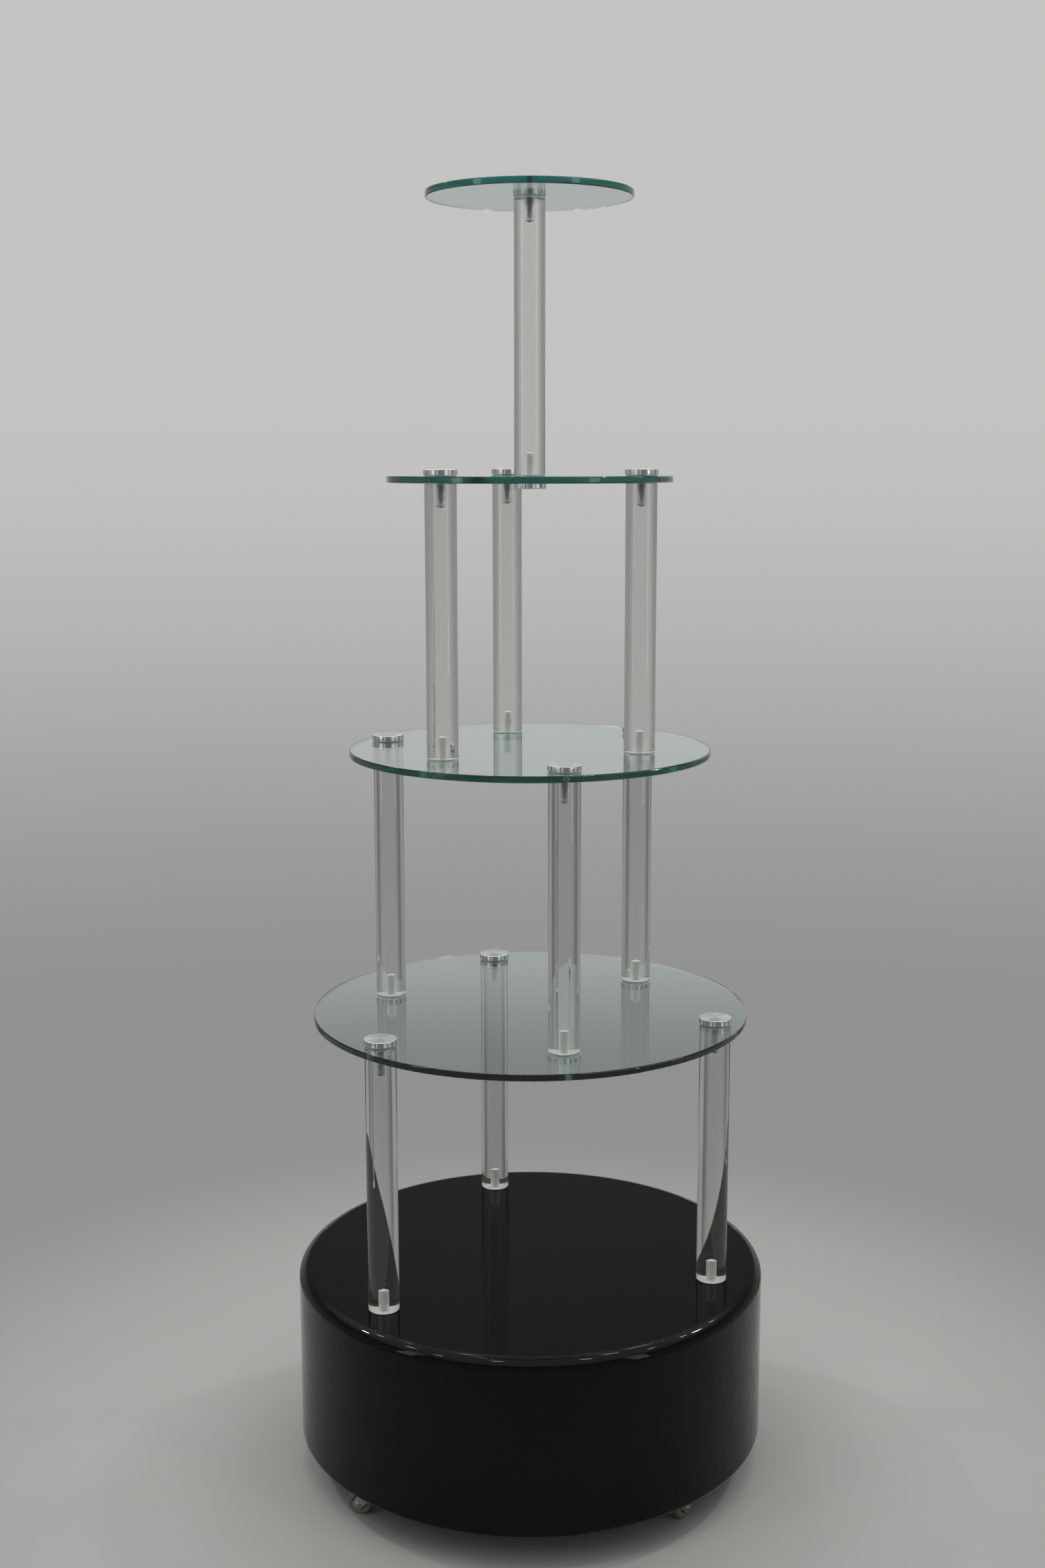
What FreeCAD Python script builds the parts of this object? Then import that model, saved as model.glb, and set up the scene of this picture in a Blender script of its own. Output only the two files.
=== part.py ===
import FreeCAD, Part
import math
import os

Vector = FreeCAD.Vector

# A four-tier glass display stand on a round lacquered base with swivel casters.
# It stands on Z = 0 and its axis is X = Y = 0. Its front is towards -Y. All sizes are in millimetres.

# Glass shelves, from the lowest to the highest
SHELF_DIAMETERS = (550.0, 450.0, 350.0, 250.0)
GLASS_THICKNESS = 8.0
GLASS_ARRIS = 1.5  # radius of the rounded edges of a polished rim
GLASS_HOLE_DIAMETER = 12.0

# Clear rods between the shelves, drilled and tapped at both ends
ROD_DIAMETER = 38.0
ROD_LENGTH = 325.0
ROD_CHAMFER = 0.6
ROD_INSET = 34.0  # from a shelf's rim to the axes of the rods that carry it
ROD_HOLE_DEPTH = 26.0
DRILL_POINT_ANGLE = 118.0

# Rods in a tier, by place and by angle about the stand's axis. Neighbouring tiers are half a step apart.
ODD_TIER_ANGLES = {"back": 90.0, "left": 210.0, "right": 330.0}
EVEN_TIER_ANGLES = {"right": 30.0, "left": 150.0, "front": 270.0}

# Turned caps and threaded studs that clamp the glass to the rods, with a clear washer on each glass face
CAP_DIAMETER = 40.0
CAP_HEIGHT = 7.0
CAP_CHAMFER = 0.8
CAP_SOCKET_DEPTH = 5.0
STUD_DIAMETER = 8.0
STUD_CHAMFER = 0.8
STUD_GRIP = 24.0  # length of a stud inside a rod
STUD_TAPER = 15.0  # length of the point on the studs that hold an upper cap
STUD_TIP_DIAMETER = 1.6
WASHER_DIAMETER = 37.0
WASHER_BORE = 9.0
WASHER_THICKNESS = 1.0

# Base drum: a shell with a rounded top edge, closed by a board from below
DRUM_DIAMETER = 600.0
DRUM_HEIGHT = 222.0
DRUM_TOP_ROUND = 14.0
DRUM_FOOT_ROUND = 6.0
DRUM_WALL = 12.0
DRUM_TOP_THICKNESS = 18.0
DRUM_STUD_HOLE = 8.4
BOARD_THICKNESS = 18.0
BLOCK_WIDTH = 60.0
BLOCK_DEPTH = 32.0
BLOCK_HEIGHT = 45.0
BLOCK_SCREW_SPACING = 34.0
BOARD_SCREW_LENGTH = 40.0
BOARD_SCREW_HEAD = 8.0

# Nuts and washers that hold the lowest rods, inside the drum
NUT_WIDTH = 13.0
NUT_HEIGHT = 6.8
NUT_CORNER_FLAT = 12.2  # diameter of the turned flat on each nut face
STEEL_WASHER_DIAMETER = 24.0
STEEL_WASHER_THICKNESS = 2.0
STUD_END = 4.0  # length of a base stud past its nut

# Swivel casters under the drum, by place and by angle about the stand's axis
CASTER_ANGLES = {"back_right": 30.0, "back_left": 120.0, "front_left": 210.0, "front_right": 300.0}
CASTER_CIRCLE_RADIUS = 260.0
# Direction from each swivel axis to its wheel, at rest
CASTER_TRAIL_ANGLES = {"back_right": 98.0, "back_left": 236.0, "front_left": 152.0, "front_right": 38.0}
CASTER_HEIGHT = 42.0
CASTER_TRAIL = 18.0
PLATE_SIZE = 38.0
PLATE_THICKNESS = 2.0
PLATE_CORNER = 4.0
PLATE_HOLE_SPACING = 28.0
PLATE_HOLE_DIAMETER = 4.5
WHEEL_DIAMETER = 32.0
WHEEL_WIDTH = 14.0
WHEEL_SHOULDER = 3.0
CORE_DIAMETER = 23.0
CORE_RIM_WALL = 2.5
CORE_WIDTH = 13.0
CORE_WEB = 6.0
HUB_DIAMETER = 10.0
HUB_WIDTH = 16.4
AXLE_DIAMETER = 5.0
AXLE_CLEARANCE = 0.05
FORK_SHEET = 2.0
FORK_GAP = 17.2
FORK_BEND = 3.0
FORK_TOP = 36.5
FORK_TOP_LENGTH = 23.0
FORK_EYE_RADIUS = 6.5
CUP_DIAMETER = 28.0
CUP_WALL = 1.4
CUP_RIM = 39.2
BALL_DIAMETER = 3.2
BALL_CIRCLE_RADIUS = 10.4
BALL_COUNT = 8
KING_PIN_DIAMETER = 6.0
KING_PIN_CLEARANCE = 0.06
KING_PIN_PLAY = 0.3
KING_PIN_HEAD = 10.4
KING_PIN_COUNTERSINK = 9.0
RIVET_HEAD_DIAMETER = 8.0
DOME_HEIGHT = 1.8
SCREW_DIAMETER = 4.0
SCREW_HEAD = 7.5
SCREW_LENGTH = 15.0
SCREW_POINT = 3.0

# Levels that follow from the sizes above
DRUM_TOP = CASTER_HEIGHT + DRUM_HEIGHT
TIER_PITCH = ROD_LENGTH + 2 * WASHER_THICKNESS + GLASS_THICKNESS
BOARD_TOP = CASTER_HEIGHT + BOARD_THICKNESS
DRUM_INNER_RADIUS = DRUM_DIAMETER / 2 - DRUM_WALL
DRUM_CEILING = DRUM_TOP - DRUM_TOP_THICKNESS
PLATE_BOTTOM = CASTER_HEIGHT - PLATE_THICKNESS
WHEEL_RADIUS = WHEEL_DIAMETER / 2
TIER_COUNT = len(SHELF_DIAMETERS)

Z_AXIS = Vector(0, 0, 1)
ORIGIN = Vector(0, 0, 0)


def profile(*steps):
    """A closed face in the XZ plane. Each step is a corner (x, z), or a pair (via, end) for an arc."""
    edges = []
    here = steps[0]
    for step in steps[1:] + steps[:1]:
        start = Vector(here[0], 0, here[1])
        if isinstance(step[0], tuple):
            via, here = step
            arc = Part.Arc(start, Vector(via[0], 0, via[1]), Vector(here[0], 0, here[1]))
            edges.append(arc.toShape())
        else:
            here = step
            edges.append(Part.LineSegment(start, Vector(here[0], 0, here[1])).toShape())
    return Part.Face(Part.Wire(edges))


def turned(*steps):
    """A solid turned about the Z axis, from an outline of radii and heights."""
    return profile(*steps).revolve(ORIGIN, Z_AXIS, 360)


def moved(shape, x, y, z=0.0, turn=0.0):
    """A copy of a shape, turned about the Z axis and then moved."""
    copy = shape.copy()
    copy.rotate(ORIGIN, Z_AXIS, turn)
    copy.translate(Vector(x, y, z))
    return copy


def upside_down(shape):
    """A copy of a shape, turned over about the X axis."""
    copy = shape.copy()
    copy.rotate(ORIGIN, Vector(1, 0, 0), 180)
    return copy


def on_circle(radius, angle):
    """The point at an angle on a circle about the stand's axis."""
    return radius * math.cos(math.radians(angle)), radius * math.sin(math.radians(angle))


def corner_arc(centre, radius, start_angle, end_angle):
    """An arc step of a profile about a centre, between two angles."""
    points = []
    for angle in ((start_angle + end_angle) / 2, end_angle):
        x, z = on_circle(radius, angle)
        points.append((centre[0] + x, centre[1] + z))
    return tuple(points)


def dome(radius, base, tip):
    """An arc step of a turned outline, from the tip of a dome on the axis out to its base."""
    height = base - tip
    sphere = (radius**2 + height**2) / (2 * abs(height))
    side = math.copysign(1, height)
    half_way = radius / 2
    via = tip + side * (sphere - math.sqrt(sphere**2 - half_way**2))
    return (half_way, via), (radius, base)


# Tiers


def tier_places(tier):
    """The rods of a tier, by place, with the X and Y of their axes."""
    if tier == TIER_COUNT:
        return {"centre": (0.0, 0.0)}
    angles = ODD_TIER_ANGLES if tier % 2 else EVEN_TIER_ANGLES
    radius = SHELF_DIAMETERS[tier - 1] / 2 - ROD_INSET
    return {place: on_circle(radius, angle) for place, angle in angles.items()}


def rods_above(shelf):
    """The X and Y of the rods that stand on a shelf."""
    return list(tier_places(shelf + 1).values()) if shelf < TIER_COUNT else []


def rods_below(shelf):
    """The X and Y of the rods that carry a shelf."""
    return list(tier_places(shelf).values())


def glass_top(shelf):
    return DRUM_TOP + shelf * TIER_PITCH


def rod_foot(tier):
    return DRUM_TOP + (tier - 1) * TIER_PITCH + WASHER_THICKNESS


def rod():
    """A clear rod standing on Z = 0, with a drilled hole and its drill point in each end."""
    radius = ROD_DIAMETER / 2
    hole = STUD_DIAMETER / 2
    point = hole / math.tan(math.radians(DRILL_POINT_ANGLE / 2))
    return turned(
        (0, ROD_HOLE_DEPTH + point),
        (hole, ROD_HOLE_DEPTH),
        (hole, 0),
        (radius - ROD_CHAMFER, 0),
        (radius, ROD_CHAMFER),
        (radius, ROD_LENGTH - ROD_CHAMFER),
        (radius - ROD_CHAMFER, ROD_LENGTH),
        (hole, ROD_LENGTH),
        (hole, ROD_LENGTH - ROD_HOLE_DEPTH),
        (0, ROD_LENGTH - ROD_HOLE_DEPTH - point),
    )


def glass_shelf(shelf):
    """A round shelf with a flat polished rim, rounded at both edges, and a hole at every rod."""
    radius = SHELF_DIAMETERS[shelf - 1] / 2
    flat = radius - GLASS_ARRIS
    top = glass_top(shelf)
    bottom = top - GLASS_THICKNESS
    lower_edge = corner_arc((flat, bottom + GLASS_ARRIS), GLASS_ARRIS, -90, 0)
    upper_edge = corner_arc((flat, top - GLASS_ARRIS), GLASS_ARRIS, 0, 90)
    glass = turned((0, bottom), (flat, bottom), lower_edge, (radius, top - GLASS_ARRIS), upper_edge, (0, top))
    hole = Part.makeCylinder(GLASS_HOLE_DIAMETER / 2, GLASS_THICKNESS)
    holes = [moved(hole, x, y, bottom) for x, y in rods_below(shelf) + rods_above(shelf)]
    return glass.cut(holes)


def cap():
    """A turned cap standing on Z = 0, with a blind socket for its stud."""
    radius = CAP_DIAMETER / 2
    socket = STUD_DIAMETER / 2
    return turned(
        (0, CAP_SOCKET_DEPTH),
        (socket, CAP_SOCKET_DEPTH),
        (socket, 0),
        (radius - CAP_CHAMFER / 2, 0),
        (radius, CAP_CHAMFER / 2),
        (radius, CAP_HEIGHT - CAP_CHAMFER),
        (radius - CAP_CHAMFER, CAP_HEIGHT),
        (0, CAP_HEIGHT),
    )


def stud(length):
    """A stud standing on Z = 0."""
    radius = STUD_DIAMETER / 2
    return turned(
        (0, 0),
        (radius - STUD_CHAMFER, 0),
        (radius, STUD_CHAMFER),
        (radius, length - STUD_CHAMFER),
        (radius - STUD_CHAMFER, length),
        (0, length),
    )


def pointed_stud(length):
    """A stud standing on its blunt point on Z = 0."""
    radius = STUD_DIAMETER / 2
    return turned(
        (0, 0),
        (STUD_TIP_DIAMETER / 2, 0),
        (radius, STUD_TAPER),
        (radius, length - STUD_CHAMFER),
        (radius - STUD_CHAMFER, length),
        (0, length),
    )


def ring(outer, bore, thickness):
    """A flat ring standing on Z = 0, from its two diameters."""
    return Part.makeCylinder(outer / 2, thickness).cut(Part.makeCylinder(bore / 2, thickness))


def shelf_nodes(shelf):
    """A shelf with the caps, studs and washers that clamp it, by node name."""
    top = glass_top(shelf)
    bottom = top - GLASS_THICKNESS
    stud_length = STUD_GRIP + GLASS_THICKNESS + 2 * WASHER_THICKNESS + CAP_SOCKET_DEPTH
    washer = ring(WASHER_DIAMETER, WASHER_BORE, WASHER_THICKNESS)
    upper_caps, lower_caps, studs, washers = [], [], [], []
    for x, y in rods_below(shelf):
        upper_caps.append(moved(cap(), x, y, top + WASHER_THICKNESS))
        studs.append(moved(pointed_stud(stud_length), x, y, bottom - WASHER_THICKNESS - STUD_GRIP))
    for x, y in rods_above(shelf):
        lower_caps.append(moved(upside_down(cap()), x, y, bottom - WASHER_THICKNESS))
        studs.append(moved(stud(stud_length), x, y, bottom - WASHER_THICKNESS - CAP_SOCKET_DEPTH))
    for x, y in rods_below(shelf) + rods_above(shelf):
        washers.append(moved(washer, x, y, top))
        washers.append(moved(washer, x, y, bottom - WASHER_THICKNESS))
    nodes = {
        f"shelf_{shelf}_glass": glass_shelf(shelf),
        f"shelf_{shelf}_upper_caps": Part.makeCompound(upper_caps),
        f"shelf_{shelf}_studs": Part.makeCompound(studs),
        f"shelf_{shelf}_washers": Part.makeCompound(washers),
    }
    if lower_caps:
        nodes[f"shelf_{shelf}_lower_caps"] = Part.makeCompound(lower_caps)
    return nodes


def rod_nodes(tier):
    """The rods of a tier, by node name."""
    foot = rod_foot(tier)
    return {
        f"tier_{tier}_rod_{place}": moved(rod(), x, y, foot)
        for place, (x, y) in tier_places(tier).items()
    }


# Base drum


def drum_shell():
    """The lacquered shell: a top with a rounded edge and a side wall, open below."""
    radius = DRUM_DIAMETER / 2
    shoulder = (radius - DRUM_TOP_ROUND, DRUM_TOP - DRUM_TOP_ROUND)
    toe = (radius - DRUM_FOOT_ROUND, CASTER_HEIGHT + DRUM_FOOT_ROUND)
    shell = turned(
        (DRUM_INNER_RADIUS, CASTER_HEIGHT),
        (toe[0], CASTER_HEIGHT),
        corner_arc(toe, DRUM_FOOT_ROUND, -90, 0),
        (radius, shoulder[1]),
        corner_arc(shoulder, DRUM_TOP_ROUND, 0, 90),
        (0, DRUM_TOP),
        (0, DRUM_CEILING),
        (DRUM_INNER_RADIUS, DRUM_CEILING),
    )
    hole = Part.makeCylinder(DRUM_STUD_HOLE / 2, DRUM_TOP_THICKNESS)
    return shell.cut([moved(hole, x, y, DRUM_CEILING) for x, y in tier_places(1).values()])


def nut():
    """A hexagon nut standing on Z = 0, with its corners turned off at both faces."""
    corner = NUT_WIDTH / math.sqrt(3)
    corners = [Vector(*on_circle(corner, 60 * side), 0) for side in range(7)]
    prism = Part.Face(Part.makePolygon(corners)).extrude(Vector(0, 0, NUT_HEIGHT))
    flat = NUT_CORNER_FLAT / 2
    slope = (corner - flat) * math.tan(math.radians(30))
    blank = turned(
        (0, 0), (flat, 0), (corner, slope), (corner, NUT_HEIGHT - slope), (flat, NUT_HEIGHT), (0, NUT_HEIGHT)
    )
    return prism.common(blank).cut(Part.makeCylinder(STUD_DIAMETER / 2, NUT_HEIGHT))


def base_fixing_nodes():
    """The studs, nuts and washers that bolt the lowest rods to the drum, by node name."""
    nut_top = DRUM_CEILING - STEEL_WASHER_THICKNESS
    nut_bottom = nut_top - NUT_HEIGHT
    stud_bottom = nut_bottom - STUD_END
    stud_length = rod_foot(1) + STUD_GRIP - stud_bottom
    steel_washer = ring(STEEL_WASHER_DIAMETER, DRUM_STUD_HOLE, STEEL_WASHER_THICKNESS)
    foot_washer = ring(WASHER_DIAMETER, WASHER_BORE, WASHER_THICKNESS)
    pieces = {
        "base_studs": (stud(stud_length), stud_bottom),
        "base_nuts": (nut(), nut_bottom),
        "base_steel_washers": (steel_washer, nut_top),
        "base_foot_washers": (foot_washer, DRUM_TOP),
    }
    places = tier_places(1).values()
    return {
        name: Part.makeCompound([moved(piece, x, y, level) for x, y in places])
        for name, (piece, level) in pieces.items()
    }


def block_angles():
    """The glue blocks stand half-way between the casters."""
    return [angle + 45 for angle in CASTER_ANGLES.values()]


def board_screw():
    """A countersunk screw that points up, with its flat head on Z = 0."""
    head = BOARD_SCREW_HEAD / 2
    shank = SCREW_DIAMETER / 2
    return turned(
        (0, 0),
        (head, 0),
        (shank, head - shank),
        (shank, BOARD_SCREW_LENGTH - SCREW_POINT),
        (0, BOARD_SCREW_LENGTH),
    )


def board_screws():
    """Two screws into each glue block, from under the board."""
    screws = []
    radius = DRUM_INNER_RADIUS - BLOCK_DEPTH / 2
    for angle in block_angles():
        x, y = on_circle(radius, angle)
        for side in (-1, 1):
            across = on_circle(side * BLOCK_SCREW_SPACING / 2, angle + 90)
            screws.append(moved(board_screw(), x + across[0], y + across[1], CASTER_HEIGHT))
    return screws


def glue_blocks():
    """Blocks glued to the inside of the wall, with backs that follow its curve."""
    inside = Part.makeCylinder(DRUM_INNER_RADIUS, BLOCK_HEIGHT, Vector(0, 0, BOARD_TOP))
    box = Part.makeBox(2 * BLOCK_DEPTH, BLOCK_WIDTH, BLOCK_HEIGHT)
    box.translate(Vector(DRUM_INNER_RADIUS - BLOCK_DEPTH, -BLOCK_WIDTH / 2, BOARD_TOP))
    blocks = [moved(box, 0, 0, 0, angle).common(inside) for angle in block_angles()]
    return [block.cut(board_screws()) for block in blocks]


def caster_screw():
    """A round-headed screw that points up, with its head under Z = 0."""
    shank = SCREW_DIAMETER / 2
    return turned(
        (0, -DOME_HEIGHT),
        dome(SCREW_HEAD / 2, 0, -DOME_HEIGHT),
        (shank, 0),
        (shank, SCREW_LENGTH - SCREW_POINT),
        (0, SCREW_LENGTH),
    )


def caster_screws():
    """Four screws through each caster plate into the board."""
    half = PLATE_HOLE_SPACING / 2
    screws = []
    for place in CASTER_ANGLES:
        for x in (-half, half):
            for y in (-half, half):
                screws.append(at_caster(moved(caster_screw(), x, y, PLATE_BOTTOM), place))
    return screws


def bottom_board():
    """The board that closes the drum, drilled for all of its screws."""
    board = Part.makeCylinder(DRUM_INNER_RADIUS, BOARD_THICKNESS, Vector(0, 0, CASTER_HEIGHT))
    return board.cut(board_screws() + caster_screws())


# Casters. Each piece is made with its swivel axis on Z and its wheel trailing towards +X.


def at_caster(shape, place, turn=None):
    """A copy of a caster piece at its place. The plate is square to the radius unless a turn is given."""
    angle = CASTER_ANGLES[place]
    x, y = on_circle(CASTER_CIRCLE_RADIUS, angle)
    return moved(shape, x, y, 0, angle if turn is None else turn)


def on_axle(shape):
    """A copy of a piece turned about Z, with its axis laid along the axle."""
    copy = shape.copy()
    copy.rotate(ORIGIN, Vector(1, 0, 0), 90)
    copy.translate(Vector(CASTER_TRAIL, 0, WHEEL_RADIUS))
    return copy


def king_pin():
    """The rivet that the fork swivels on, flush with the top of the plate."""
    radius = KING_PIN_DIAMETER / 2
    sunk = KING_PIN_COUNTERSINK / 2
    head = KING_PIN_HEAD / 2
    head_top = FORK_TOP - FORK_SHEET - KING_PIN_PLAY
    return turned(
        (0, head_top - DOME_HEIGHT),
        dome(head, head_top, head_top - DOME_HEIGHT),
        (radius, head_top),
        (radius, CASTER_HEIGHT - (sunk - radius)),
        (sunk, CASTER_HEIGHT),
        (0, CASTER_HEIGHT),
    )


def caster_plate():
    """The square plate with rounded corners and four screw holes."""
    half = PLATE_SIZE / 2
    plate = Part.makeBox(PLATE_SIZE, PLATE_SIZE, PLATE_THICKNESS, Vector(-half, -half, PLATE_BOTTOM))
    uprights = [edge for edge in plate.Edges if edge.BoundBox.ZLength > PLATE_THICKNESS / 2]
    plate = plate.makeFillet(PLATE_CORNER, uprights)
    hole = Part.makeCylinder(PLATE_HOLE_DIAMETER / 2, PLATE_THICKNESS)
    spots = (-PLATE_HOLE_SPACING / 2, PLATE_HOLE_SPACING / 2)
    holes = [moved(hole, x, y, PLATE_BOTTOM) for x in spots for y in spots]
    return plate.cut(holes + [king_pin()])


def bearing_balls():
    """The ring of balls that runs under the plate, inside the fork's cup."""
    ball = Part.makeSphere(BALL_DIAMETER / 2)
    level = PLATE_BOTTOM - BALL_DIAMETER / 2
    step = 360 / BALL_COUNT
    return [moved(ball, *on_circle(BALL_CIRCLE_RADIUS, step * n), level) for n in range(BALL_COUNT)]


def tangent_point(corner, centre, radius, side):
    """Where a line from a corner touches a circle, on the side of the circle given by the sign."""
    along = math.atan2(corner[1] - centre[1], corner[0] - centre[0])
    spread = math.acos(radius / math.dist(corner, centre))
    angle = along + side * spread
    return centre[0] + radius * math.cos(angle), centre[1] + radius * math.sin(angle)


def fork_bridge():
    """The bent sheet of the fork: a channel along X, before its legs are trimmed."""
    outer = FORK_GAP / 2 + FORK_SHEET
    inner = FORK_GAP / 2
    bend = (outer - FORK_BEND, FORK_TOP - FORK_BEND)
    other_bend = (-bend[0], bend[1])
    inner_bend = FORK_BEND - FORK_SHEET
    channel = profile(
        (outer, 0),
        (outer, bend[1]),
        corner_arc(bend, FORK_BEND, 0, 90),
        (other_bend[0], FORK_TOP),
        corner_arc(other_bend, FORK_BEND, 90, 180),
        (-outer, 0),
        (-inner, 0),
        (-inner, bend[1]),
        corner_arc(other_bend, inner_bend, 180, 90),
        (bend[0], FORK_TOP - FORK_SHEET),
        corner_arc(bend, inner_bend, 90, 0),
        (inner, 0),
    )
    reach = CASTER_TRAIL + WHEEL_RADIUS
    sheet = channel.extrude(Vector(0, 2 * reach, 0))
    return moved(sheet, reach, 0, 0, 90)


def fork_side():
    """The outline of the fork's legs, as a block across the whole fork."""
    half = FORK_TOP_LENGTH / 2
    eye = (CASTER_TRAIL, WHEEL_RADIUS)
    front = tangent_point((half, FORK_TOP), eye, FORK_EYE_RADIUS, -1)
    back = tangent_point((-half, FORK_TOP), eye, FORK_EYE_RADIUS, 1)
    below = (eye[0], eye[1] - FORK_EYE_RADIUS)
    outline = profile((-half, FORK_TOP), (half, FORK_TOP), front, (below, back))
    block = outline.extrude(Vector(0, 2 * FORK_GAP, 0))
    return moved(block, 0, -FORK_GAP)


def fork():
    """A pressed fork: two tapered legs, bent down from a round cup that holds the balls."""
    hole = KING_PIN_DIAMETER / 2 + KING_PIN_CLEARANCE
    cup = CUP_DIAMETER / 2
    floor = FORK_TOP - FORK_SHEET
    race = turned(
        (0, floor), (cup, floor), (cup, CUP_RIM), (cup - CUP_WALL, CUP_RIM), (cup - CUP_WALL, FORK_TOP), (0, FORK_TOP)
    )
    legs = fork_bridge().common(fork_side())
    swivel_hole = Part.makeCylinder(hole, FORK_TOP)
    axle_hole = on_axle(Part.makeCylinder(AXLE_DIAMETER / 2, 2 * FORK_GAP, Vector(0, 0, -FORK_GAP)))
    return race.fuse(legs).removeSplitter().cut([swivel_hole, axle_hole])


def axle():
    """The riveted axle, with a domed head outside each leg."""
    radius = AXLE_DIAMETER / 2
    head = RIVET_HEAD_DIAMETER / 2
    face = FORK_GAP / 2 + FORK_SHEET
    tip = face + DOME_HEIGHT
    far_dome = dome(head, face, tip)
    return turned(
        (0, -tip),
        dome(head, -face, -tip),
        (radius, -face),
        (radius, face),
        (head, face),
        (far_dome[0], (0, tip)),
    )


def wheel_core():
    """The wheel's centre: a long hub, a thin web and a rim."""
    bore = AXLE_DIAMETER / 2 + AXLE_CLEARANCE
    hub = HUB_DIAMETER / 2
    rim = CORE_DIAMETER / 2
    rim_inside = rim - CORE_RIM_WALL
    hub_end, rim_edge, web = HUB_WIDTH / 2, CORE_WIDTH / 2, CORE_WEB / 2
    return turned(
        (bore, -hub_end),
        (hub, -hub_end),
        (hub, -web),
        (rim_inside, -web),
        (rim_inside, -rim_edge),
        (rim, -rim_edge),
        (rim, rim_edge),
        (rim_inside, rim_edge),
        (rim_inside, web),
        (hub, web),
        (hub, hub_end),
        (bore, hub_end),
    )


def tyre():
    """The tread round the wheel's centre, with rounded shoulders."""
    inside = CORE_DIAMETER / 2
    half = WHEEL_WIDTH / 2
    shoulder = (WHEEL_RADIUS - WHEEL_SHOULDER, half - WHEEL_SHOULDER)
    other_shoulder = (shoulder[0], -shoulder[1])
    return turned(
        (inside, -half),
        (shoulder[0], -half),
        corner_arc(other_shoulder, WHEEL_SHOULDER, -90, 0),
        (WHEEL_RADIUS, shoulder[1]),
        corner_arc(shoulder, WHEEL_SHOULDER, 0, 90),
        (inside, half),
    )


def caster_nodes():
    """All caster pieces, by node name."""
    nodes = {
        "caster_king_pins": Part.makeCompound([at_caster(king_pin(), place) for place in CASTER_ANGLES]),
        "caster_bearing_balls": Part.makeCompound(
            [at_caster(ball, place) for place in CASTER_ANGLES for ball in bearing_balls()]
        ),
        "caster_screws": Part.makeCompound(caster_screws()),
    }
    for place in CASTER_ANGLES:
        trail = CASTER_TRAIL_ANGLES[place]
        nodes[f"caster_{place}_plate"] = at_caster(caster_plate(), place)
        nodes[f"caster_{place}_fork"] = at_caster(fork(), place, trail)
        nodes[f"caster_{place}_axle"] = at_caster(on_axle(axle()), place, trail)
        nodes[f"caster_{place}_wheel"] = at_caster(on_axle(wheel_core()), place, trail)
        nodes[f"caster_{place}_tyre"] = at_caster(on_axle(tyre()), place, trail)
    return nodes


def all_nodes():
    nodes = {
        "drum_shell": drum_shell(),
        "bottom_board": bottom_board(),
        "glue_blocks": Part.makeCompound(glue_blocks()),
        "board_screws": Part.makeCompound(board_screws()),
    }
    nodes.update(base_fixing_nodes())
    nodes.update(caster_nodes())
    for number in range(1, TIER_COUNT + 1):
        nodes.update(rod_nodes(number))
        nodes.update(shelf_nodes(number))
    return nodes


os.makedirs("parts", exist_ok=True)
for name, shape in all_nodes().items():
    shape.exportStep(f"parts/{name}.step")
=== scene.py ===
import math

import bmesh
import bpy
from mathutils import Euler, Matrix, Vector


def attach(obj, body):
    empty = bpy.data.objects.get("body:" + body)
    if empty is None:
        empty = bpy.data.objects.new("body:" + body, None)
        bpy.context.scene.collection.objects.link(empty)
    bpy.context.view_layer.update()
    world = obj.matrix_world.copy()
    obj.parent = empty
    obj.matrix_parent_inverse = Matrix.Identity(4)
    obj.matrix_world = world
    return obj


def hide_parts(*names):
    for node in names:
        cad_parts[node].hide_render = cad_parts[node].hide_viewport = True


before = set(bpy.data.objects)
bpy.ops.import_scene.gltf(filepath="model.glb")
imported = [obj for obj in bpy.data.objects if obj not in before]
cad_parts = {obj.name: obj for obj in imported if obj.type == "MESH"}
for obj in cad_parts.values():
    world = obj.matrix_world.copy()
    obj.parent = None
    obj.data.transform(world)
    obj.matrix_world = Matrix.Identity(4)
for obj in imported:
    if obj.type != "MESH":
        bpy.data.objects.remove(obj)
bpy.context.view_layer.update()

MM = 0.001

# Sizes shared with the solids, in metres
GLASS = 8 * MM
SHELF_RADII = (275 * MM, 225 * MM, 175 * MM, 125 * MM)
ROD_RADIUS = 19 * MM
ROD_LENGTH = 325 * MM
ROD_INSET = 34 * MM
WASHER = 1 * MM
WASHER_BORE_RADIUS = 4.5 * MM
WASHER_RADIUS = 18.5 * MM
CAP_RADIUS = 20 * MM
CAP_HEIGHT = 7 * MM
SOCKET_RADIUS = 4 * MM
SOCKET_DEPTH = 5 * MM
STUD_GRIP = 24 * MM
STUD_TAPER = 15 * MM
HOLE_RADIUS = 4.1 * MM
HOLE_DEPTH = 26 * MM
DRILL_HALF_ANGLE = math.radians(59)
DRUM_TOP = 264 * MM
DRUM_CEILING = 246 * MM
BASE_STUD_DROP = 12.8 * MM  # steel washer, nut and free end, below the drum's ceiling
PITCH = ROD_LENGTH + 2 * WASHER + GLASS
TIERS = 4
ODD_TIER_ANGLES = {"back": 90, "left": 210, "right": 330}
EVEN_TIER_ANGLES = {"right": 30, "left": 150, "front": 270}
CASTERS = ("back_right", "back_left", "front_left", "front_right")

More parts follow.
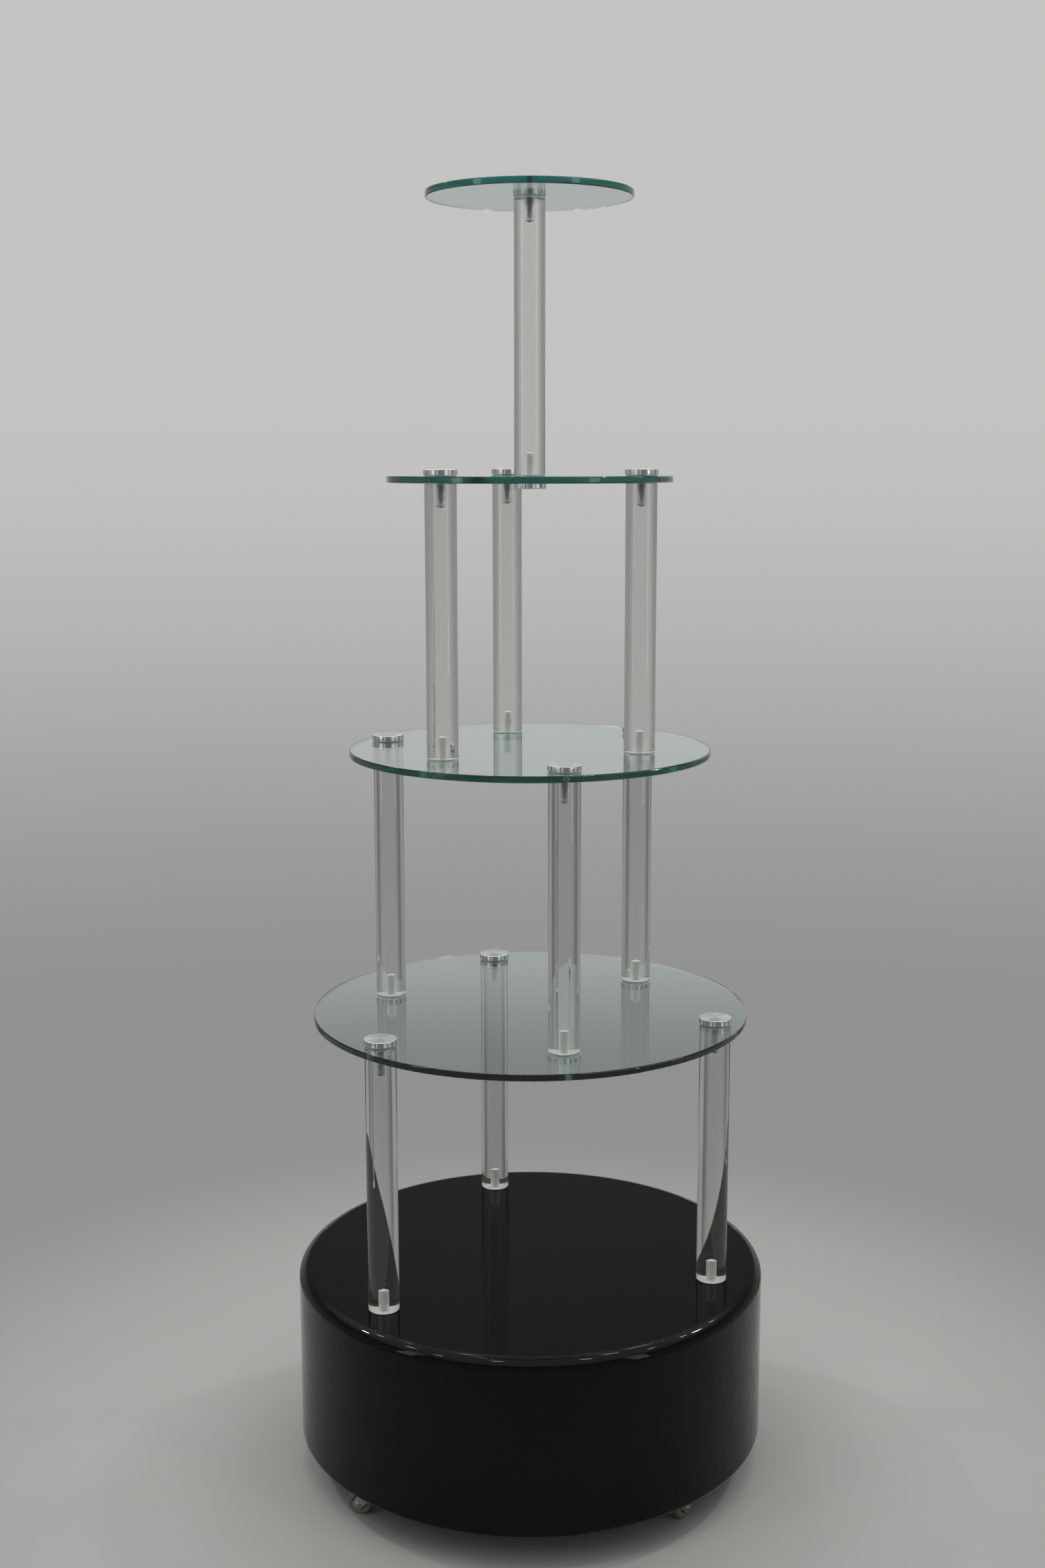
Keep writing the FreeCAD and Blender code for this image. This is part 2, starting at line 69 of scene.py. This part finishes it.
# Sizes of the finer detail in the meshes
WASHER_GAP = 0.05 * MM
WASHER_EDGE = 0.15 * MM
ROD_EDGE = 0.6 * MM
CAP_FOOT_EDGE = 0.4 * MM
CAP_TOP_EDGE = 0.8 * MM
THREAD_PITCH = 1.25 * MM
THREAD_ROOT = 3.2 * MM
THREAD_CREST = 3.85 * MM
THREAD_LEAD_IN = 0.8  # rise of the radius per length, at a stud's ends
STUD_TIP_SHARE = 0.2
ROD_SEGMENTS = 160
CAP_SEGMENTS = 128
WASHER_SEGMENTS = 96
FLOOR_SEGMENTS = 96
STUD_SEGMENTS = 18
STUD_ROWS_PER_PITCH = 6
SHARP_ANGLE = math.radians(30)


def tier_places(tier):
    """The rods of a tier, by place, with the X and Y of their axes."""
    if tier == TIERS:
        return {"centre": (0.0, 0.0)}
    places = ODD_TIER_ANGLES if tier % 2 else EVEN_TIER_ANGLES
    radius = SHELF_RADII[tier - 1] - ROD_INSET
    return {
        place: (radius * math.cos(math.radians(angle)), radius * math.sin(math.radians(angle)))
        for place, angle in places.items()
    }


def shelf_top(shelf):
    return DRUM_TOP + shelf * PITCH


# Materials

GLASS_IOR = 1.52
ACRYLIC_IOR = 1.49
VINYL_IOR = 1.45
PLASTIC_IOR = 1.47
WHITE = (1, 1, 1, 1)
THREAD_WAVES = 251.0  # scale at which the bands of a wave texture lie a thread's pitch apart


class Shader:
    """A material with one Principled shader, and short ways to add the nodes that drive it."""

    def __init__(self, name, **values):
        self.material = bpy.data.materials.new(name)
        self.material.use_nodes = True
        self.nodes = self.material.node_tree.nodes
        self.links = self.material.node_tree.links
        self.bsdf = self.nodes["Principled BSDF"]
        self.output = self.nodes["Material Output"]
        for socket, value in values.items():
            self.bsdf.inputs[socket.replace("_", " ")].default_value = value

    def add(self, kind, **values):
        """A node of a kind. Values set its settings, or set or link its sockets, also as i0, i1 by number."""
        node = self.nodes.new("ShaderNode" + kind)
        for name, value in values.items():
            socket = node.inputs[int(name[1:])] if name[0] == "i" and name[1:].isdigit() else None
            if socket is None and hasattr(node, name):
                setattr(node, name, value)
                continue
            socket = socket or node.inputs[name.replace("_", " ")]
            if isinstance(value, bpy.types.NodeSocket):
                self.links.new(value, socket)
            else:
                socket.default_value = value
        return node

    def drive(self, socket, source):
        self.links.new(source, self.bsdf.inputs[socket])

    def place(self, scale=(1, 1, 1)):
        """Object coordinates, scaled along each axis."""
        coords = self.add("TexCoord")
        return self.add("Mapping", Vector=coords.outputs["Object"], Scale=scale).outputs["Vector"]

    def noise(self, scale, stretch=(1, 1, 1), detail=4.0, roughness=0.55, distortion=0.0):
        return self.add(
            "TexNoise", Vector=self.place(stretch), Scale=scale, Detail=detail, Roughness=roughness,
            Distortion=distortion,
        ).outputs["Fac"]

    def spread(self, source, low, high, start=0.0, end=1.0):
        """A value moved from the range start to end into the range low to high."""
        node = self.add("MapRange", Value=source)
        for name, value in (("From Min", start), ("From Max", end), ("To Min", low), ("To Max", high)):
            node.inputs[name].default_value = value
        return node.outputs["Result"]

    def blend(self, source, first, second):
        """A colour between two, by a value from 0 to 1."""
        # The Mix node has its colours in sockets 6 and 7, and their blend in output 2
        return self.add("Mix", data_type="RGBA", i0=source, i6=(*first, 1), i7=(*second, 1)).outputs[2]

    def bump(self, source, strength, distance):
        node = self.add("Bump", Height=source, Strength=strength, Distance=distance)
        self.drive("Normal", node.outputs["Normal"])

    def absorb(self, colour, density):
        node = self.nodes.new("ShaderNodeVolumeAbsorption")
        node.inputs["Color"].default_value = (*colour, 1)
        node.inputs["Density"].default_value = density
        self.links.new(node.outputs["Volume"], self.output.inputs["Volume"])

    def mix_in(self, factor, other):
        """Another shader in place of the Principled one, by a share or by a socket's value."""
        mix = self.add("MixShader", i0=factor, i1=self.bsdf.outputs[0], i2=other.outputs[0])
        self.links.new(mix.outputs[0], self.output.inputs["Surface"])

    def clear_shadow(self, share):
        """Lets a share of the lamps' light pass each face, as clear pieces do."""
        path = self.add("LightPath")
        clear = self.add("BsdfTransparent", Color=(share, share, share, 1))
        self.mix_in(path.outputs["Is Shadow Ray"], clear)


def float_glass():
    """Clear float glass, green through its depth, with faint smears on its faces and a finely ground rim."""
    shader = Shader("float_glass", Transmission_Weight=1.0, IOR=GLASS_IOR, Base_Color=WHITE)
    smears = shader.noise(scale=9, detail=6, distortion=1.2)
    smears = shader.spread(smears, low=0.0, high=0.035, start=0.52, end=0.8)
    normal = shader.add("SeparateXYZ", Vector=shader.add("TexCoord").outputs["Normal"])
    lying = shader.add("Math", operation="ABSOLUTE", i0=normal.outputs["Z"])
    ground = shader.spread(lying.outputs[0], low=0.12, high=0.0, start=0.2, end=0.9)
    shader.drive("Roughness", shader.add("Math", operation="ADD", i0=smears, i1=ground).outputs[0])
    shader.absorb(colour=(0.0, 0.64, 0.6), density=15.0)
    shader.clear_shadow(share=0.92)
    return shader.material


def clear_acrylic():
    """Cast acrylic rod, slightly grey, with faint lines drawn along its length."""
    shader = Shader("clear_acrylic", Transmission_Weight=1.0, IOR=ACRYLIC_IOR, Base_Color=WHITE)
    lines = shader.noise(scale=1, stretch=(260, 260, 3.5), detail=3)
    scuffs = shader.noise(scale=60, detail=5)
    shader.drive("Roughness", shader.spread(scuffs, low=0.0, high=0.03, start=0.55, end=0.85))
    shader.bump(lines, strength=0.25, distance=0.4 * MM)
    shader.absorb(colour=(0.5, 0.5, 0.47), density=12.5)
    shader.clear_shadow(share=0.82)
    return shader.material


def drilled_acrylic(name, clear, dark, light):
    """The sawn end of a rod or the wall of its hole, left frosted by the tools."""
    shader = Shader(name, Transmission_Weight=clear, IOR=ACRYLIC_IOR)
    grain = shader.noise(scale=1400, detail=4, roughness=0.7)
    frost = shader.spread(grain, low=0.0, high=1.0, start=0.35, end=0.65)
    shader.drive("Base Color", shader.blend(frost, dark, light))
    shader.drive("Roughness", shader.spread(grain, low=0.25, high=0.5))
    thread = shader.add(
        "TexWave", Vector=shader.place(), wave_type="BANDS", bands_direction="Z", Scale=THREAD_WAVES,
        Distortion=0.6,
    )
    shader.bump(thread.outputs["Fac"], strength=0.25, distance=0.4 * MM)
    shader.absorb(colour=(0.8, 0.84, 0.78), density=2.0)
    shader.clear_shadow(share=0.6)
    return shader.material


def turned_aluminium(name, smooth, rough, painted_streaks):
    """Bright turned metal with the tool's rings. A side has painted reflection streaks in its colour, with a
    slight chatter bump along them; a face has an even sheen.
    """
    shader = Shader(name, Metallic=1.0, Anisotropic=1.0)
    tangent = shader.add("Tangent", direction_type="RADIAL", axis="Z")
    shader.drive("Tangent", tangent.outputs["Tangent"])
    rings = shader.add(
        "TexWave", Vector=shader.place(), wave_type="RINGS", rings_direction="Z", Scale=420.0, Distortion=1.5,
        Detail=2.0,
    )
    shader.drive("Roughness", shader.spread(rings.outputs["Fac"], low=smooth, high=rough))
    if painted_streaks:
        # Painted reflection: light and dark vertical streaks in the side's colour stand in for lamps mirrored
        # in the turned metal; the same streaks also drive a slight chatter bump.
        marks = shader.noise(scale=1, stretch=(380, 380, 0), detail=1)
        marks = shader.spread(marks, low=0.0, high=1.0, start=0.44, end=0.56)
        shader.drive("Base Color", shader.blend(marks, (0.42, 0.42, 0.43), (1, 1, 1)))
        shader.bump(marks, strength=0.2, distance=0.3 * MM)
    else:
        patches = shader.noise(scale=140, detail=3)
        shader.drive("Base Color", shader.blend(patches, (0.88, 0.88, 0.89), (0.96, 0.96, 0.96)))
        shader.bump(rings.outputs["Fac"], strength=0.12, distance=0.05 * MM)
        sheen_share = 0.6
        shader.mix_in(sheen_share, shader.add("BsdfAnisotropic", Color=(0.6, 0.6, 0.61, 1), Roughness=0.5))
    return shader.material


def steel(name, light, dark, smooth, rough, scale=220):
    """Plated steel with uneven brightness."""
    shader = Shader(name, Metallic=1.0)
    patches = shader.noise(scale, detail=5)
    grain = shader.noise(scale=9 * scale, detail=2)
    shader.drive("Base Color", shader.blend(patches, dark, light))
    shader.drive("Roughness", shader.spread(patches, low=smooth, high=rough, start=0.3, end=0.7))
    shader.bump(grain, strength=0.1, distance=0.1 * MM)
    return shader.material


def clear_vinyl(name, light, dark):
    """Soft clear washers, a little clouded."""
    shader = Shader(name, Transmission_Weight=0.85, IOR=VINYL_IOR)
    clouds = shader.noise(scale=180, detail=3)
    shader.drive("Base Color", shader.blend(clouds, dark, light))
    shader.drive("Roughness", shader.spread(clouds, low=0.12, high=0.35))
    shader.clear_shadow(share=0.75)
    return shader.material


def black_lacquer():
    """Sprayed gloss lacquer with slight waves, most on the side, dust in the film and fine rubbing marks."""
    shader = Shader("black_lacquer", Specular_IOR_Level=0.17)
    dust = shader.spread(shader.noise(scale=700, detail=2), low=0.0, high=1.0, start=0.72, end=0.8)
    shader.drive("Base Color", shader.blend(dust, (0.0025, 0.0025, 0.003), (0.016, 0.016, 0.016)))
    marks = shader.noise(scale=22, detail=8, distortion=0.8)
    shader.drive("Roughness", shader.spread(marks, low=0.012, high=0.07, start=0.4, end=0.75))
    height = shader.add("SeparateXYZ", Vector=shader.place())
    edge_start, edge_end = DRUM_TOP - 14 * MM, DRUM_TOP - 2 * MM
    on_side = shader.spread(height.outputs["Z"], low=1.0, high=0.25, start=edge_start, end=edge_end)
    peel = shader.add("Math", operation="MULTIPLY", i0=shader.noise(scale=50, detail=2), i1=on_side)
    waves = shader.noise(scale=8, detail=1)
    peel_share = 0.9
    both = shader.add("Math", operation="MULTIPLY_ADD", i0=peel.outputs[0], i1=peel_share, i2=waves)
    shader.bump(both.outputs[0], strength=0.12, distance=4 * MM)
    return shader.material


def painted_board():
    """Fibreboard with a thin coat of black paint."""
    shader = Shader("painted_board")
    fibres = shader.noise(scale=320, detail=5)
    shader.drive("Base Color", shader.blend(fibres, (0.018, 0.017, 0.016), (0.045, 0.043, 0.04)))
    shader.drive("Roughness", shader.spread(fibres, low=0.55, high=0.8))
    shader.bump(fibres, strength=0.2, distance=0.6 * MM)
    return shader.material


def sawn_wood():
    """Bare softwood with its grain."""
    shader = Shader("sawn_wood")
    grain = shader.noise(scale=1, stretch=(60, 60, 500), detail=6, distortion=0.6)
    shader.drive("Base Color", shader.blend(grain, (0.42, 0.28, 0.15), (0.66, 0.5, 0.32)))
    shader.drive("Roughness", shader.spread(grain, low=0.5, high=0.75))
    shader.bump(grain, strength=0.3, distance=0.6 * MM)
    return shader.material


def moulded(name, light, dark, smooth, rough, transmission=0.0):
    """Moulded plastic or tread, with a fine skin and some dirt."""
    shader = Shader(name, Transmission_Weight=transmission, IOR=PLASTIC_IOR)
    dirt = shader.noise(scale=160, detail=6, distortion=0.5)
    shader.drive("Base Color", shader.blend(dirt, dark, light))
    shader.drive("Roughness", shader.spread(dirt, low=smooth, high=rough))
    shader.bump(shader.noise(scale=1500, detail=2), strength=0.15, distance=0.2 * MM)
    return shader.material


GLASS_LOOK = float_glass()
ACRYLIC = clear_acrylic()
DRILLED = drilled_acrylic("drilled_acrylic", clear=0.86, dark=(0.6, 0.6, 0.58), light=(0.92, 0.92, 0.9))
TAPPED = drilled_acrylic("tapped_acrylic", clear=0.35, dark=(0.74, 0.74, 0.71), light=(0.92, 0.92, 0.88))
CAP_TOP = turned_aluminium("turned_aluminium", smooth=0.24, rough=0.28, painted_streaks=False)
CAP_SIDE = turned_aluminium("turned_aluminium_side", smooth=0.16, rough=0.22, painted_streaks=True)
SCREW_STEEL = steel("screw_steel", (0.38, 0.38, 0.37), (0.2, 0.2, 0.2), smooth=0.25, rough=0.45)
STUD_ZINC = steel("stud_zinc", (0.85, 0.85, 0.83), (0.6, 0.6, 0.59), smooth=0.3, rough=0.55)
FIXING_STEEL = steel("fixing_steel", (0.66, 0.66, 0.65), (0.4, 0.4, 0.4), smooth=0.25, rough=0.5)
ZINC = steel("zinc_plate", (0.44, 0.46, 0.43), (0.22, 0.235, 0.215), smooth=0.25, rough=0.5, scale=120)
VINYL = clear_vinyl("clear_vinyl", (0.93, 0.94, 0.93), (0.8, 0.81, 0.8))
FOOT_VINYL = clear_vinyl("foot_vinyl", (0.62, 0.48, 0.4), (0.4, 0.28, 0.22))
LACQUER = black_lacquer()
BOARD = painted_board()
WOOD = sawn_wood()
WHEEL = moulded("wheel_plastic", (0.25, 0.25, 0.21), (0.14, 0.14, 0.11), smooth=0.3, rough=0.5)
TREAD = moulded(
    "wheel_tread", (0.3, 0.31, 0.23), (0.16, 0.165, 0.12), smooth=0.2, rough=0.45, transmission=0.35
)


# Pieces


def finish_mesh(work, name, materials):
    """A mesh from the work, with smooth shading, sharp at real edges, and its materials."""
    mesh = bpy.data.meshes.new(name)
    work.to_mesh(mesh)
    work.free()
    for material in materials:
        mesh.materials.append(material)
    mesh.shade_smooth()
    mesh.set_sharp_from_angle(angle=SHARP_ANGLE)
    return mesh


def lathe(name, outline, segments, materials, bands=None):
    """A mesh turned about Z from points of radius and height.

    Bands gives the number of the material for bands between points that don't have the first one.
    """
    work = bmesh.new()
    rings = []
    turns = [2 * math.pi * step / segments for step in range(segments)]
    for radius, height in outline:
        if radius == 0:
            rings.append([work.verts.new((0, 0, height))])
            continue
        rings.append([work.verts.new((radius * math.cos(t), radius * math.sin(t), height)) for t in turns])
    closed = outline[0][0] != 0
    pairs = zip(rings, rings[1:] + rings[:1]) if closed else zip(rings, rings[1:])
    for band, (low, high) in enumerate(pairs):
        for step in range(segments):
            corners = [low[step % len(low)], low[(step + 1) % len(low)]]
            corners += [high[(step + 1) % len(high)], high[step % len(high)]]
            face = work.faces.new(list(dict.fromkeys(corners)))
            face.material_index = (bands or {}).get(band, 0)
    bmesh.ops.recalc_face_normals(work, faces=work.faces)
    return finish_mesh(work, name, materials)


def rounded(corner, inward_z, radius, steps=5):
    """Points of a small round at an outer corner, from its side to its face, which lies inward along Z."""
    points = []
    for step in range(steps + 1):
        angle = math.pi / 2 * step / steps
        r = corner[0] - radius * (1 - math.cos(angle))
        z = corner[1] + inward_z * radius * (1 - math.sin(angle))
        points.append((r, z))
    return points


def rod_mesh():
    """A rod on Z = 0, with its drilled ends. The lower one is tapped and frosted more."""
    point = HOLE_RADIUS / math.tan(DRILL_HALF_ANGLE)
    outline = [(0, HOLE_DEPTH + point), (HOLE_RADIUS, HOLE_DEPTH), (HOLE_RADIUS, 0)]
    outline += rounded((ROD_RADIUS, 0), inward_z=1, radius=ROD_EDGE)[::-1]
    outline += [(r, ROD_LENGTH - z) for r, z in outline[::-1]]
    last = len(outline) - 2
    drilled, tapped = 1, 2
    bands = {0: tapped, 1: tapped, 2: tapped, last - 2: drilled, last - 1: drilled, last: drilled}
    return lathe("rod", outline, ROD_SEGMENTS, [ACRYLIC, DRILLED, TAPPED], bands)


def cap_mesh():
    """A turned cap on Z = 0, with softened edges and its socket."""
    outline = [(0, SOCKET_DEPTH), (SOCKET_RADIUS, SOCKET_DEPTH), (SOCKET_RADIUS, 0)]
    outline += rounded((CAP_RADIUS, 0), inward_z=1, radius=CAP_FOOT_EDGE, steps=3)[::-1]
    side = len(outline) - 1
    outline += rounded((CAP_RADIUS, CAP_HEIGHT), inward_z=-1, radius=CAP_TOP_EDGE)
    outline += [(0, CAP_HEIGHT)]
    return lathe("cap", outline, CAP_SEGMENTS, [CAP_TOP, CAP_SIDE], {side: 1})


def washer_mesh(name, material):
    """A thin washer, clear of the faces above and below it."""
    low, high = WASHER_GAP, WASHER - WASHER_GAP
    bore, rim, edge = WASHER_BORE_RADIUS, WASHER_RADIUS, WASHER_EDGE
    outline = [(bore, low), (rim - edge, low), (rim, low + edge)]
    outline += [(rim, high - edge), (rim - edge, high), (bore, high)]
    return lathe(name, outline, WASHER_SEGMENTS, [material])


def stud_mesh(name, length, material, taper=0.0):
    """A threaded stud on Z = 0, with its helix cut into the surface. A taper draws its foot in to a point."""
    rows = round(length / THREAD_PITCH * STUD_ROWS_PER_PITCH)
    work = bmesh.new()
    rings = []
    for row in range(rows + 1):
        height = length * row / rows
        from_end = min(height, length - height)
        ring = []
        for step in range(STUD_SEGMENTS):
            phase = (height / THREAD_PITCH - step / STUD_SEGMENTS) % 1
            tooth = 1 - abs(2 * phase - 1)
            radius = THREAD_ROOT + (THREAD_CREST - THREAD_ROOT) * tooth
            radius = min(radius, THREAD_ROOT + from_end * THREAD_LEAD_IN)
            if height < taper:
                radius *= STUD_TIP_SHARE + (1 - STUD_TIP_SHARE) * height / taper
            turn = 2 * math.pi * step / STUD_SEGMENTS
            ring.append(work.verts.new((radius * math.cos(turn), radius * math.sin(turn), height)))
        rings.append(ring)
    for low, high in zip(rings, rings[1:]):
        for step in range(STUD_SEGMENTS):
            after = (step + 1) % STUD_SEGMENTS
            work.faces.new((low[step], low[after], high[after], high[step]))
    work.faces.new(rings[0][::-1])
    work.faces.new(rings[-1])
    return finish_mesh(work, name, [material])


def add(name, mesh, place, node, upside_down=False):
    """A piece on the stand that stands for a solid of the frame, or for one of a group."""
    piece = bpy.data.objects.new(name, mesh)
    bpy.context.scene.collection.objects.link(piece)
    piece.location = place
    if upside_down:
        piece.rotation_euler = (math.pi, 0, 0)
    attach(piece, "stand")
    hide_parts(node)


rod = rod_mesh()
cap = cap_mesh()
washer = washer_mesh("washer", VINYL)
foot_washer = washer_mesh("foot_washer", FOOT_VINYL)
cap_stud_length = STUD_GRIP + GLASS + 2 * WASHER + SOCKET_DEPTH
upper_stud = stud_mesh("upper_stud", cap_stud_length, SCREW_STEEL, STUD_TAPER)
lower_stud = stud_mesh("lower_stud", cap_stud_length, STUD_ZINC)
base_stud_bottom = DRUM_CEILING - BASE_STUD_DROP
base_stud = stud_mesh("base_stud", DRUM_TOP + WASHER + STUD_GRIP - base_stud_bottom, STUD_ZINC)

for tier in range(1, TIERS + 1):
    for place, (x, y) in tier_places(tier).items():
        foot = DRUM_TOP + (tier - 1) * PITCH + WASHER
        add(f"rod_{tier}_{place}", rod, (x, y, foot), f"tier_{tier}_rod_{place}")

for place, (x, y) in tier_places(1).items():
    add(f"foot_washer_{place}", foot_washer, (x, y, DRUM_TOP), "base_foot_washers")
    add(f"base_stud_{place}", base_stud, (x, y, base_stud_bottom), "base_studs")

for shelf in range(1, TIERS + 1):
    top = shelf_top(shelf)
    bottom = top - GLASS
    under = bottom - WASHER
    node = f"shelf_{shelf}"
    below = {f"under_{place}": xy for place, xy in tier_places(shelf).items()}
    above = {f"over_{place}": xy for place, xy in tier_places(shelf + 1).items()} if shelf < TIERS else {}
    for place, (x, y) in below.items():
        foot = under - STUD_GRIP
        add(f"cap_{shelf}_{place}", cap, (x, y, top + WASHER), f"{node}_upper_caps")
        add(f"stud_{shelf}_{place}", upper_stud, (x, y, foot), f"{node}_studs")
    for place, (x, y) in above.items():
        foot = under - SOCKET_DEPTH
        add(
            f"cap_{shelf}_{place}", cap, (x, y, under), f"{node}_lower_caps",
            upside_down=True,
        )
        add(f"stud_{shelf}_{place}", lower_stud, (x, y, foot), f"{node}_studs")
    for place, (x, y) in (below | above).items():
        add(f"washer_{shelf}_{place}_top", washer, (x, y, top), f"{node}_washers")
        add(f"washer_{shelf}_{place}_bottom", washer, (x, y, under), f"{node}_washers")


# Materials of the solids that stay as they are


def dress(name, material):
    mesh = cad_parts[name].data
    mesh.materials.clear()
    mesh.materials.append(material)


looks = {
    "drum_shell": LACQUER,
    "bottom_board": BOARD,
    "glue_blocks": WOOD,
    "board_screws": FIXING_STEEL,
    "base_nuts": FIXING_STEEL,
    "base_steel_washers": FIXING_STEEL,
    "caster_king_pins": ZINC,
    "caster_bearing_balls": FIXING_STEEL,
    "caster_screws": FIXING_STEEL,
}
caster_looks = {"plate": ZINC, "fork": ZINC, "axle": ZINC, "wheel": WHEEL, "tyre": TREAD}
for shelf in range(1, TIERS + 1):
    looks[f"shelf_{shelf}_glass"] = GLASS_LOOK
for place in CASTERS:
    for piece, material in caster_looks.items():
        looks[f"caster_{place}_{piece}"] = material
for name, material in looks.items():
    dress(name, material)


# Stage, light and camera

FLOOR_RADII = (0, 0.5, 1, 1.7)
FLOOR_FADE = (0.42, 1.2)  # radii between which the floor thins out
VIEW_HEADING = math.radians(11.82)
VIEW_TILT = math.radians(90 - 9.31)
VIEW_ROLL = math.radians(-0.08)
VIEW_PLACE = (-0.4847, -2.2705, 1.284)
VIEW_SENSOR = 36.0
VIEW_LENS = 43.131
VIEW_SHIFT = -0.0082
LAMP_SIZE = (0.2, 0.2)
STRIP_SIZE = (0.5, 2.2)
CEILING_HEIGHT = 3.3
MID_STAND = (0, 0, 1)
LOW_STAND = (0, 0, 0.9)
CLEAR_BOUNCES = 28
GLOSSY_BOUNCES = 12


def floor_material():
    """Pale matte paper that thins out towards its edge."""
    shader = Shader("stage_paper", Roughness=0.85, Specular_IOR_Level=0.1)
    mottle = shader.noise(scale=3, detail=3)
    shader.drive("Base Color", shader.blend(mottle, (0.42, 0.419, 0.407), (0.44, 0.439, 0.427)))
    distance = shader.add("VectorMath", operation="LENGTH", i0=shader.place())
    fade = shader.add("MapRange", interpolation_type="SMOOTHSTEP", Value=distance.outputs["Value"])
    fade.inputs["From Min"].default_value, fade.inputs["From Max"].default_value = FLOOR_FADE
    shader.mix_in(fade.outputs["Result"], shader.add("BsdfTransparent"))
    return shader.material


def stage():
    """A round pale floor under the stand."""
    outline = [(radius, 0) for radius in FLOOR_RADII]
    mesh = lathe("stage_floor", outline, FLOOR_SEGMENTS, [floor_material()])
    floor = bpy.data.objects.new("stage_floor", mesh)
    bpy.context.scene.collection.objects.link(floor)


def lamp(name, place, target, size, power):
    """A flat lamp that faces its target."""
    light = bpy.data.lights.new(name, "AREA")
    light.shape = "RECTANGLE"
    light.size, light.size_y = size
    light.energy = power
    holder = bpy.data.objects.new(name, light)
    bpy.context.scene.collection.objects.link(holder)
    holder.location = place
    holder.rotation_euler = (Vector(target) - Vector(place)).to_track_quat("-Z", "Y").to_euler()


def lamps():
    """Rows of small ceiling lamps, two stronger ones behind the stand and two soft strips before it."""
    rows, columns = 3, 4
    first_x, first_y = -2.1, -0.8
    step_x, step_y, row_offset = 1.4, 1.3, 0.3
    for row in range(rows):
        for column in range(columns):
            x = first_x + step_x * column + row_offset * row
            y = first_y + step_y * row
            lamp(f"ceiling_{row}_{column}", (x, y, CEILING_HEIGHT), (x, y, 0), LAMP_SIZE, power=3)
    lamp("key_left", (-2.2, 1.4, 2.9), MID_STAND, LAMP_SIZE, power=15)
    lamp("key_right", (2.5, 0.5, 2.9), MID_STAND, LAMP_SIZE, power=15)
    lamp("strip_left", (-3.2, -1.2, 1.5), LOW_STAND, STRIP_SIZE, power=8)
    lamp("strip_right", (2.2, -2.8, 1.5), LOW_STAND, STRIP_SIZE, power=7)


def studio():
    """A pale backdrop between dark flags, in an even grey room that is dim above it and bright overhead."""
    world = bpy.data.worlds.new("studio")
    bpy.context.scene.world = world
    world.use_nodes = True
    nodes, links = world.node_tree.nodes, world.node_tree.links

    def node(kind, *values, **settings):
        made = nodes.new("ShaderNode" + kind)
        for name, value in settings.items():
            setattr(made, name, value)
        for socket, value in zip(made.inputs, values):
            if isinstance(value, bpy.types.NodeSocket):
                links.new(value, socket)
            else:
                socket.default_value = value
        return made.outputs

    def change(angle, start, end, before, after):
        """A level that goes softly from one value to another between two angles in degrees."""
        limits = (math.radians(start), math.radians(end))
        early = node("MapRange", angle, *limits, 1.0, 0.0, interpolation_type="SMOOTHSTEP")["Result"]
        return node("MapRange", early, 0.0, 1.0, after, before)["Result"]

    direction = node("SeparateXYZ", node("TexCoord")["Generated"])
    azimuth = node("Math", direction["X"], direction["Y"], operation="ARCTAN2")[0]
    turned = node("Math", azimuth, VIEW_HEADING, operation="SUBTRACT")[0]
    aside = node("Math", turned, operation="ABSOLUTE")[0]
    height = node("Math", direction["Z"], operation="ARCSINE")[0]

    backdrop = change(height, -17, 3, before=0.285, after=0.55)
    flags = change(height, -14, -2, before=0.1, after=0.34)
    room = change(height, -28, -8, before=0.36, after=0.3)
    sides = change(aside, 33, 45, before=flags, after=room)
    walls = change(aside, 16, 40, before=backdrop, after=sides)
    ceiling = change(height, 28, 48, before=0.17, after=0.85)
    level = change(height, 14.5, 18.5, before=walls, after=ceiling)
    nodes["Background"].inputs["Color"].default_value = (1, 0.998, 0.97, 1)
    links.new(level, nodes["Background"].inputs["Strength"])


def camera():
    """The photograph's view, from just above the third shelf."""
    data = bpy.data.cameras.new("camera")
    data.sensor_width = VIEW_SENSOR
    data.lens = VIEW_LENS
    data.shift_y = VIEW_SHIFT
    holder = bpy.data.objects.new("camera", data)
    bpy.context.scene.collection.objects.link(holder)
    turn = Euler((VIEW_TILT, 0, -VIEW_HEADING)).to_matrix() @ Matrix.Rotation(VIEW_ROLL, 3, "Z")
    holder.matrix_world = Matrix.Translation(VIEW_PLACE) @ turn.to_4x4()
    bpy.context.scene.camera = holder


stage()
lamps()
studio()
camera()

settings = bpy.context.scene
settings.view_settings.view_transform = "Standard"
settings.cycles.max_bounces = CLEAR_BOUNCES
settings.cycles.transmission_bounces = CLEAR_BOUNCES
settings.cycles.transparent_max_bounces = CLEAR_BOUNCES
settings.cycles.glossy_bounces = GLOSSY_BOUNCES
settings.cycles.use_denoising = True
